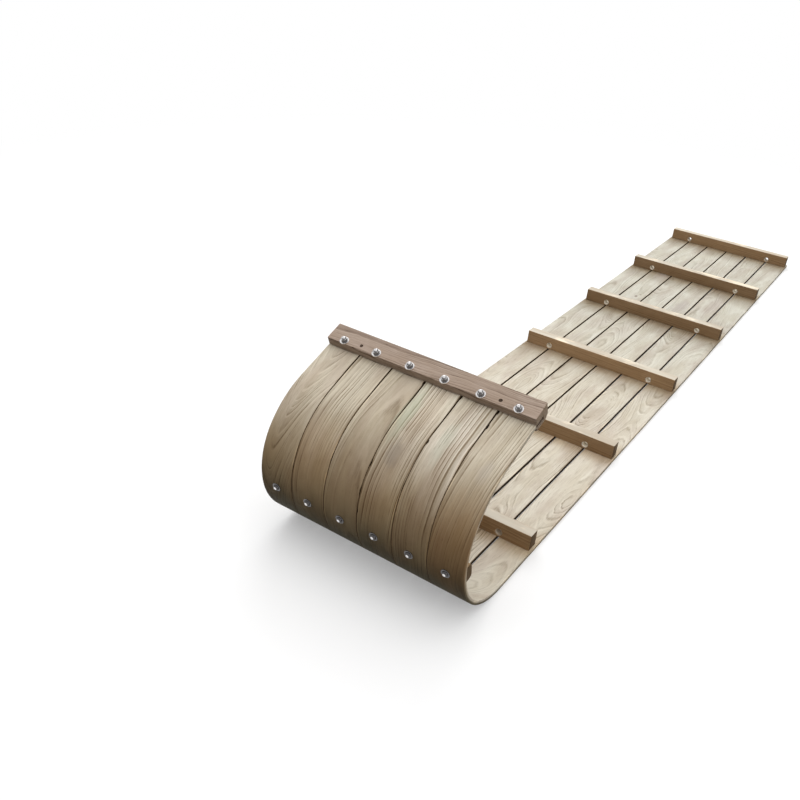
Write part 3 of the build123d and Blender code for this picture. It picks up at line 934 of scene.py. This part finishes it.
# %% Finish the headpiece and the nose batten
def finish_node(node, material):
    """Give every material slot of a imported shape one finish."""
    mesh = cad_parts[node].data
    if not mesh.materials:
        mesh.materials.append(material)
    for place in range(len(mesh.materials)):
        mesh.materials[place] = material


finish_node("headpiece", headpiece_oak)
finish_node("nose_batten", nose_batten_oak)
print("Finished in oak: the headpiece and the nose batten")

# %% [markdown]
# ## Plated steel
# The fasteners are plated. Their highlights and dark reflections are painted into the plating's colour:
# the crowns of the heads, the bolts' tips and the headpiece's washers are painted bright, the nuts' sides
# and the bolts' shanks dark, and the nose's washers darkest, as painted shade. A mask could be painted as
# an image. Here each shape keeps a value at its points that says how bright its plating is painted.

# %% Two platings
def plated(name, bright, dark_reflection, roughness):
    """Plating painted bright where a point's kept value is 1 and dark where it is 0, as painted highlights,
    reflections and shade, with fine spots.
    """
    material = bpy.data.materials.new(name)
    material.use_nodes = True
    tree = material.node_tree
    shader = tree.nodes["Principled BSDF"]
    spots = noise(tree, object_place(tree), 900.0, 900.0, 3.0, 0.6)
    # painted highlights and dark reflections: the kept value picks between the bright and the dark colour
    tone = mix(tree, kept_value(tree, "polish"), dark_reflection, bright)
    tone = tinted(tree, ramp(tree, spots, 0.35, 0.75, 0.0, 0.8), tone, (0.72, 0.72, 0.72))
    tree.links.new(tone, shader.inputs["Base Color"])
    rough = ramp(tree, spots, 0.3, 0.8, roughness - 0.06, roughness + 0.16)
    tree.links.new(rough, shader.inputs["Roughness"])
    shader.inputs["Metallic"].default_value = 1.0
    return material


bright_plating = plated("bright plating", (0.92, 0.90, 0.90), (0.082, 0.077, 0.077), 0.22)
dull_plating = plated("dull plating", (0.45, 0.44, 0.42), (0.25, 0.24, 0.22), 0.38)
print("Platings:", bright_plating.name, "and", dull_plating.name)

# %% [markdown]
# ## Bolts, washers and nuts
# Each fastener is a shape turned on a lathe: a profile of radius against height, carried round its axis.
# A nut and a thread are the same with a radius that depends on the angle too. Spin and Screw modifiers
# could do the turning, but the formula makes a row of six at once, as one mesh.

# %% Turned shapes in a row
def turned(name, places, axis, profile, material, around=48, radius=None, polish=None):
    """Closed rings of revolution at several places, as one mesh.

    Point = place + height times the axis + radius times (cos a, sin a) across it. The profile has rows of
    (radius, height), stays off the axis and closes on itself. radius(r, h, a) may reshape it, and the last
    function of (r, h) says how bright each point's plating is painted, as painted highlight and shade.
    """
    axis = np.array(axis) / np.linalg.norm(axis)
    side = np.array([0.0, 1.0, 0.0])
    other = np.cross(axis, side)
    angle = np.arange(around) * 2 * np.pi / around
    r, h = (np.array(profile)[:, k][:, None] for k in (0, 1))
    r = r if radius is None else radius(r, h, angle)
    r, h = np.broadcast_arrays(r, h + 0 * angle)
    shine = np.tile((1.0 + 0 * r if polish is None else polish(r, h)).ravel(), len(places))
    shape = h[..., None] * axis + (r * np.cos(angle))[..., None] * side
    shape = shape + (r * np.sin(angle))[..., None] * other
    index = np.arange(h.size).reshape(h.shape)
    quads = joined(np.concatenate([index, index[:1]])).reshape(-1, 4)
    points = np.concatenate([shape.reshape(-1, 3) + place for place in places])
    return make_object(name, points, [quads + k * h.size for k in range(len(places))], material, polish=shine)


def rounded(corners, radius, steps=3):
    """A profile with its corners rounded: each becomes a Bezier from radius before it to radius after it."""
    corners = np.array(corners)
    before = np.roll(corners, 1, axis=0) - corners
    after = np.roll(corners, -1, axis=0) - corners
    start = (corners + before / np.linalg.norm(before, axis=1, keepdims=True) * radius)[:, None]
    stop = (corners + after / np.linalg.norm(after, axis=1, keepdims=True) * radius)[:, None]
    t = np.linspace(0, 1, steps + 1)[None, :, None]
    return ((1 - t) ** 2 * start + 2 * t * (1 - t) * corners[:, None] + t ** 2 * stop).reshape(-1, 2)


# %% Nuts and threads
WASHER_RADIUS, WASHER_THICKNESS, BOLT_RADIUS = 8.0 * MM, 1.4 * MM, 3.0 * MM
HEAD_RADIUS, HEAD_HEIGHT, NUT_FLATS, NUT_HEIGHT, STUB = 5.5 * MM, 4.0 * MM, 10.0 * MM, 5.0 * MM, 2.6 * MM
HOLE_RADIUS, NUT_BREAK = BOLT_RADIUS + 0.2 * MM, 0.3 * MM
THREAD_PITCH, THREAD_DEPTH = 1.0 * MM, 0.45 * MM


def hexagon(r, h, a):
    """The radius of a nut: a hexagon's by the angle, cut by a cone of 30 degrees near both faces."""
    apothem = NUT_FLATS / 2
    wall = apothem / np.cos((a + np.pi / 6) % (np.pi / 3) - np.pi / 6)
    cone = apothem * 0.97 + np.minimum(h, NUT_HEIGHT - h) / np.tan(np.radians(30))
    return np.where(r > apothem * 0.9, np.minimum(wall, cone), r + 0 * a)


def threaded(length_from):
    """A thread's radius past a length: less by a triangle wave of height / pitch - angle / a full turn."""
    def thread(r, h, a):
        triangle = np.abs(2 * ((h / THREAD_PITCH - a / (2 * np.pi)) % 1.0) - 1)
        return np.where((h > length_from) & (r > 2.5 * MM), r - THREAD_DEPTH * triangle, r + 0 * a)
    return thread


def nut_profile():
    """A nut's rows of radius and height. The outer ones stand clear of the hexagon, which cuts them."""
    apothem, beyond = NUT_FLATS / 2, NUT_FLATS / 2 * 1.2
    heights = np.array([0.0, 0.2, 0.45, 0.8, 4.2, 4.55, 4.8, 5.0]) * MM
    return [(HOLE_RADIUS, NUT_BREAK), (HOLE_RADIUS + NUT_BREAK, 0.0), (apothem * 0.95, 0.0),
            *((beyond, h) for h in heights), (apothem * 0.95, NUT_HEIGHT),
            (HOLE_RADIUS + NUT_BREAK, NUT_HEIGHT), (HOLE_RADIUS, NUT_HEIGHT - NUT_BREAK)]


print("Rows in a nut's profile:", len(nut_profile()))

# %% Bolts
def bolt_profile(grip):
    """A bolt's rows of radius and height: a quarter ellipse as the head, the shank, and a rounded tip."""
    end = grip + NUT_HEIGHT + STUB
    dome = np.linspace(0.02, 1, 9) * np.pi / 2
    threads = np.linspace(grip, end - 0.7 * MM, 41)
    return [*((HEAD_RADIUS * np.sin(a), -HEAD_HEIGHT * np.cos(a)) for a in dome), (BOLT_RADIUS, 0.0),
            *((BOLT_RADIUS, h) for h in threads),
            (2.4 * MM, end - 0.2 * MM), (1.8 * MM, end - 0.03 * MM), (0.3 * MM, end)]


def bolt_polish(end):
    """A bolt's painted highlights: bright on the crown of its head and at its tip."""
    def polish(r, h):
        crown = np.clip((3.0 * MM - r) / (0.8 * MM), 0, 1)
        return np.where(h < 0, crown, np.where(h > end - 0.5 * MM, 0.85, 0.22))
    return polish


def nut_polish(r, h):
    """A nut's painted reflection: brighter on its outer face and dark on its sides."""
    return np.where(h > NUT_HEIGHT - 0.5 * MM, 0.35, 0.06)


washer_ring = rounded([(HOLE_RADIUS, 0.0), (WASHER_RADIUS, 0.0), (WASHER_RADIUS, WASHER_THICKNESS),
                       (HOLE_RADIUS, WASHER_THICKNESS)], 0.35 * MM)
print("Rows in a washer's profile:", len(washer_ring))

# %% Build both rows of bolts
# name, place along the slats, seat of the head, of the nut and of the washer, as heights out of the outer
# face, and how bright a washer's face and rim are painted: painted highlight on the headpiece, painted
# shade in the nose
rows = (
    ("nose", nose_bolt_place, 1.4 * MM, -28.0 * MM, 0.0, 0.0, 0.10),
    ("headpiece", headpiece_bolt_place, -14.0 * MM, 15.9 * MM, 14.5 * MM, 0.9, 0.9),
)
for row, place, head_seat, nut_seat, washer_seat, face_polish, rim_polish in rows:
    x, z, heading = along(np.array(place))
    outwards = np.array([np.sin(heading), 0.0, -np.cos(heading)])
    base = np.stack([[x, y, z] for y in slat_centres])
    way = 1 if nut_seat > head_seat else -1
    grip = abs(nut_seat - head_seat)
    bolts = turned(f"plated_{row}_bolts", base + outwards * head_seat, outwards * way, bolt_profile(grip),
                   bright_plating, radius=threaded(grip), polish=bolt_polish(grip + NUT_HEIGHT + STUB))
    washers = turned(f"plated_{row}_washers", base + outwards * washer_seat, outwards, washer_ring,
                     bright_plating,
                     polish=lambda r, h: np.where(r > WASHER_RADIUS - 0.6 * MM, rim_polish, face_polish))
    nuts = turned(f"plated_{row}_nuts", base + outwards * nut_seat, outwards * way, nut_profile(),
                  bright_plating, around=72, radius=hexagon, polish=nut_polish)
    for piece, kind in ((bolts, "bolts"), (washers, "washers"), (nuts, "nuts")):
        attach(piece, "root")
        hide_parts(f"{row}_{kind}")
        print(piece.name, "faces:", len(piece.data.polygons))

# %% [markdown]
# ## The deck's screws
# A countersunk screw goes up into every cross batten through every slat. Only the flat heads show, sunk a
# little into the underside, each with a round socket for the driver. The picture doesn't show them, so
# they are a guess. They could be left out, but the deck would have empty holes. They are turned like
# the bolts.

# %% Build the deck screws
SCREW_HEAD, SCREW_SHANK, SCREW_LENGTH = 4.2 * MM, 2.1 * MM, 30.0 * MM
SCREW_POINT, SCREW_SINK = 5.0 * MM, 0.4 * MM
SCREW_CONE = np.radians(41)
taper = (SCREW_HEAD - SCREW_SHANK) / np.tan(SCREW_CONE)
socket = [(0.25 * MM, 1.3 * MM), (0.7 * MM, 1.2 * MM), (1.0 * MM, 0.15 * MM), (1.3 * MM, 0.0)]
screw = [*socket, (SCREW_HEAD - 0.1 * MM, 0.0), (SCREW_HEAD, 0.1 * MM), (SCREW_SHANK, taper),
         (SCREW_SHANK, SCREW_LENGTH - SCREW_POINT), (0.1 * MM, SCREW_LENGTH - SCREW_SINK)]
seats = np.meshgrid(TAIL + batten_places, slat_centres, [SCREW_SINK], indexing="ij")
seats = np.stack(seats, -1).reshape(-1, 3)
screws = turned("plated_deck_screws", seats, (0, 0, 1), screw, dull_plating, around=24)
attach(screws, "root")
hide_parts("deck_screws")
print(screws.name, "faces:", len(screws.data.polygons))

# %% [markdown]
# ## The studio
# A pale floor and a bright sky without edges. The sky is brightest overhead, so the deck is fully lit and
# the low front of the nose falls into shade. A large soft lamp adds a little direction, and a weaker one
# lifts the shade on the other side. The camera sees the sky and the far floor as plain white, which comes
# from their colour and adds no light. An image of a sky could light the toboggan too, but this needs no
# file and has no spots to reflect.

# %% Sky
SKY_OVERHEAD, SKY_LOW = 1.85, 0.06


def seen_directly(tree):
    """1 for what the camera sees, itself or in a mirror or through glass."""
    path = add(tree, "ShaderNodeLightPath").outputs
    mirrored = math(tree, "ADD", path["Is Camera Ray"], path["Is Glossy Ray"])
    return math(tree, "ADD", mirrored, path["Is Transmission Ray"], clamp=True)


world = bpy.data.worlds.new("soft sky")
bpy.context.scene.world = world
world.use_nodes = True
tree = world.node_tree
sky = tree.nodes["Background"]
up = parts_of(tree, add(tree, "ShaderNodeTexCoord").outputs["Generated"])[2]
glow = total(tree, product(tree, up, up, SKY_OVERHEAD), SKY_LOW)
strength = add(tree, "ShaderNodeMix", {0: seen_directly(tree), 2: glow, 3: 1.0}, data_type="FLOAT").outputs[0]
tree.links.new(strength, sky.inputs["Strength"])
sky.inputs["Color"].default_value = (1.0, 1.0, 1.0, 1.0)
print("The sky's strength, overhead and low:", SKY_OVERHEAD + SKY_LOW, SKY_LOW)

# %% Floor
FLOOR_HALF, FLOOR_STEPS, FLOOR_DROP = 14.0, 15, 0.4 * MM
# where the floor starts to pass into plain white, and where it is all white
WHITE_FROM, WHITE_TO = 1.2, 2.6
floor_material = bpy.data.materials.new("pale floor")
floor_material.use_nodes = True
tree = floor_material.node_tree
shader = tree.nodes["Principled BSDF"]
shader.inputs["Roughness"].default_value = 0.9
shader.inputs["Specular IOR Level"].default_value = 0.1
# the camera sees a white floor, and the toboggan gets only a dim brown light from it
floor_colour = mix(tree, seen_directly(tree), (0.10, 0.085, 0.07), (0.97, 0.97, 0.97))
tree.links.new(floor_colour, shader.inputs["Base Color"])
away = add(tree, "ShaderNodeVectorMath", {0: object_place(tree)}, operation="LENGTH").outputs["Value"]
glare = add(tree, "ShaderNodeEmission", {"Color": (1.0, 1.0, 1.0), "Strength": 1.0})
far = product(tree, ramp(tree, away, WHITE_FROM, WHITE_TO, 0.3, 1.0), seen_directly(tree))
blend = add(tree, "ShaderNodeMixShader", {0: far, 1: shader.outputs[0], 2: glare.outputs[0]})
tree.links.new(blend.outputs[0], tree.nodes["Material Output"].inputs["Surface"])

steps = np.linspace(-FLOOR_HALF, FLOOR_HALF, FLOOR_STEPS)
grid = np.stack(np.meshgrid(steps, steps, [-FLOOR_DROP], indexing="ij"), -1)[:, :, 0]
index = np.arange(FLOOR_STEPS ** 2).reshape(FLOOR_STEPS, FLOOR_STEPS)
quads = np.stack([index[:-1, :-1], index[1:, :-1], index[1:, 1:], index[:-1, 1:]], -1).reshape(-1, 4)
floor = make_object("floor", grid, [quads], floor_material)
if floor.data.polygons[0].normal.z < 0:
    floor.data.flip_normals()
print("Floor faces:", len(floor.data.polygons))


# %% Lamps
def soft_lamp(name, place, aim, size, energy):
    """A rectangular lamp at a place, turned to a point."""
    data = bpy.data.lights.new(name, "AREA")
    data.shape = "RECTANGLE"
    (data.size, data.size_y), data.energy = size, energy
    lamp = bpy.data.objects.new(name, data)
    lamp.location = place
    lamp.rotation_euler = (lamp.location - Vector(aim)).to_track_quat("Z", "Y").to_euler()
    bpy.context.scene.collection.objects.link(lamp)


soft_lamp("soft box", (-2.3, -1.7, 2.9), (0.1, 0.0, 0.0), (3.0, 2.2), 55.0)
soft_lamp("fill", (1.2, 3.2, 1.5), (0.7, 0.0, 0.0), (2.0, 1.4), 20.0)
print("Lamps:", len(bpy.data.lights))

# %% [markdown]
# ## The camera
# The picture was taken from in front and above, on the toboggan's left. The camera's place, its three
# directions and its lens were worked out from the toboggan's own edges in the picture. They could be set
# by eye, but a fit to many edges is closer.

# %% Camera and colour management
SENSOR_WIDTH, PICTURE_WIDTH, LENS_IN_PIXELS = 36.0, 800, 865.34
CAMERA_PLACE = (1.955139, 0.605016, 0.974767)
right = np.array([-0.5640142, 0.8218877, 0.0799292])
down = np.array([0.3771804, 0.3425189, -0.8604741])
ahead = np.cross(right, down)
camera_data = bpy.data.cameras.new("camera")
camera_data.sensor_width = SENSOR_WIDTH
camera_data.lens = LENS_IN_PIXELS * SENSOR_WIDTH / PICTURE_WIDTH
camera_data.clip_start, camera_data.clip_end = 0.05, 60.0
camera = bpy.data.objects.new("camera", camera_data)
bpy.context.scene.collection.objects.link(camera)
turn = Matrix(np.column_stack([right, -down, -ahead]).tolist()).to_4x4()
camera.matrix_world = Matrix.Translation(CAMERA_PLACE) @ turn
bpy.context.scene.camera = camera
bpy.context.scene.view_settings.view_transform = "Standard"
print("Lens:", round(camera_data.lens, 2), "mm")

# %% Update the scene
bpy.context.view_layer.update()
